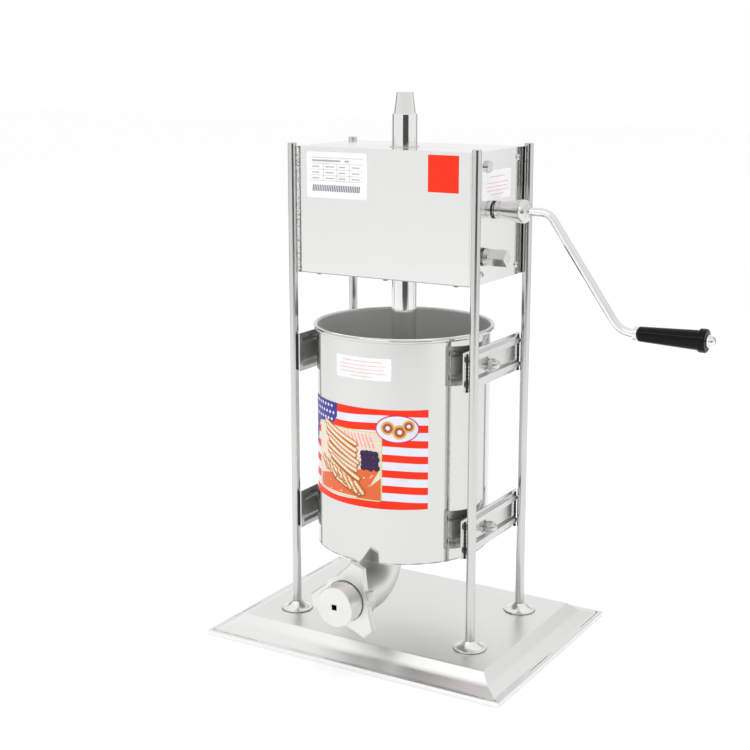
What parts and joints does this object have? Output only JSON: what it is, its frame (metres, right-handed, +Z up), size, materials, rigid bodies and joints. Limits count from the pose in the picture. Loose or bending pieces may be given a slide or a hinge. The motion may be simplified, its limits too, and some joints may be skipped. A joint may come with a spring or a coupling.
{
  "type": "churro press",
  "caption": "Upright hand-cranked dough press: cylindrical pot with rack-driven plunger, geared housing on posts, base pan, elbow outlet and nozzle with wing nut.",
  "frame": {"origin": "centre of the base pan's footprint, on the table", "axes": "+X to the crank side, -Y to the front where the nozzle points, +Z up along the rod"},
  "size_m": [0.5942, 0.3355, 0.68],
  "materials": {
    "polished_sheet": "bright polished stainless sheet",
    "pot_steel": "bright rolled stainless sheet",
    "polished_bar": "polished stainless bar",
    "fastener": "plain stainless fasteners",
    "turned_steel": "turned steel, lightly oiled",
    "cast_steel": "cast and brushed stainless",
    "bronze": "plain bearing bronze",
    "black_grip": "smooth black plastic",
    "white_plastic": "food-safe white plastic",
    "black_rubber": "black rubber"
  },
  "bodies": {
    "frame": {"base_pan": "polished_sheet", "rosette_front_left": "polished_sheet", "rosette_front_right": "polished_sheet", "rosette_rear_left": "polished_sheet", "rosette_rear_right": "polished_sheet", "rail_upper_left": "polished_sheet", "rail_upper_right": "polished_sheet", "rail_lower_left": "polished_sheet", "rail_lower_right": "polished_sheet", "side_plate_left": "polished_sheet", "side_plate_right": "polished_sheet", "cover_front": "polished_sheet", "cover_rear": "polished_sheet", "tray_top": "polished_sheet", "tray_bottom": "polished_sheet", "pot_wall": "pot_steel", "pot_floor": "pot_steel", "outlet_elbow": "pot_steel", "post_front_left": "polished_bar", "post_front_right": "polished_bar", "post_rear_left": "polished_bar", "post_rear_right": "polished_bar", "post_washers": "fastener", "post_nuts": "fastener", "pot_studs": "fastener", "stud_spacers": "fastener", "stud_washers": "fastener", "spring_washers": "fastener", "dome_nuts": "fastener", "side_screws": "fastener", "cover_screws": "fastener", "oil_plug": "fastener", "rod_guide_top": "turned_steel", "rod_guide_bottom": "turned_steel", "outlet_collar": "cast_steel", "main_bush_left": "bronze", "main_bush_right": "bronze", "fast_bush": "bronze", "slow_bush": "bronze", "seal_rings": "black_rubber"},
    "plunger_set": {"rack_rod": "polished_bar", "rod_cap": "polished_bar", "plunger": "white_plastic", "plunger_seal": "black_rubber", "plunger_nut": "fastener"},
    "main_gears": {"main_shaft": "turned_steel", "rack_pinion": "turned_steel", "fast_wheel": "turned_steel", "slow_wheel": "turned_steel"},
    "fast_drive": {"fast_shaft": "turned_steel", "fast_pinion": "turned_steel"},
    "slow_drive": {"slow_shaft": "turned_steel", "slow_pinion": "turned_steel"},
    "crank": {"crank_hub": "polished_bar", "crank_arm": "polished_bar", "grip_nut": "polished_bar"},
    "grip": {"crank_grip": "black_grip"},
    "nozzle_set": {"nozzle": "cast_steel", "nozzle_gasket": "black_rubber"},
    "nut": {"wing_nut": "cast_steel"}
  },
  "joints": [
    {"name": "rod_slide", "type": "slide", "parent": "frame", "child": "plunger_set", "axis": [0, 0, 1], "range_m": [0, 0.31]},
    {"name": "main_turn", "type": "hinge", "parent": "frame", "child": "main_gears", "pos_m": [0, 0.011, 0.5195], "axis": [1, 0, 0], "range_deg": [-1270, 1]},
    {"name": "fast_turn", "type": "hinge", "parent": "frame", "child": "fast_drive", "pos_m": [0.12, -0.00799, 0.54526], "axis": [1, 0, 0], "range_deg": [-1, 1439]},
    {"name": "slow_turn", "type": "hinge", "parent": "frame", "child": "slow_drive", "pos_m": [0.12, -0.036, 0.49291], "axis": [1, 0, 0], "range_deg": [-1, 3627]},
    {"name": "crank_pull", "type": "slide", "parent": "fast_drive", "child": "crank", "axis": [1, 0, 0], "range_m": [0, 0.024]},
    {"name": "grip_spin", "type": "hinge", "parent": "crank", "child": "grip", "pos_m": [0.34, -0.00799, 0.41526], "axis": [1, 0, 0], "continuous": true},
    {"name": "nozzle_slide", "type": "slide", "parent": "frame", "child": "nozzle_set", "axis": [0, -1, 0], "range_m": [0, 0.018]},
    {"name": "nut_turn", "type": "hinge", "parent": "nozzle_set", "child": "nut", "pos_m": [0, -0.142, 0.085], "axis": [0, -1, 0], "range_deg": [-1, 2161]}
  ],
  "couplings": [
    {"joint": "main_turn", "follows": "rod_slide", "rad_per_m": -71.429},
    {"joint": "fast_turn", "follows": "rod_slide", "rad_per_m": 80.952},
    {"joint": "slow_turn", "follows": "rod_slide", "rad_per_m": 204.08},
    {"joint": "nut_turn", "follows": "nozzle_slide", "rad_per_m": 2094.4}
  ]
}
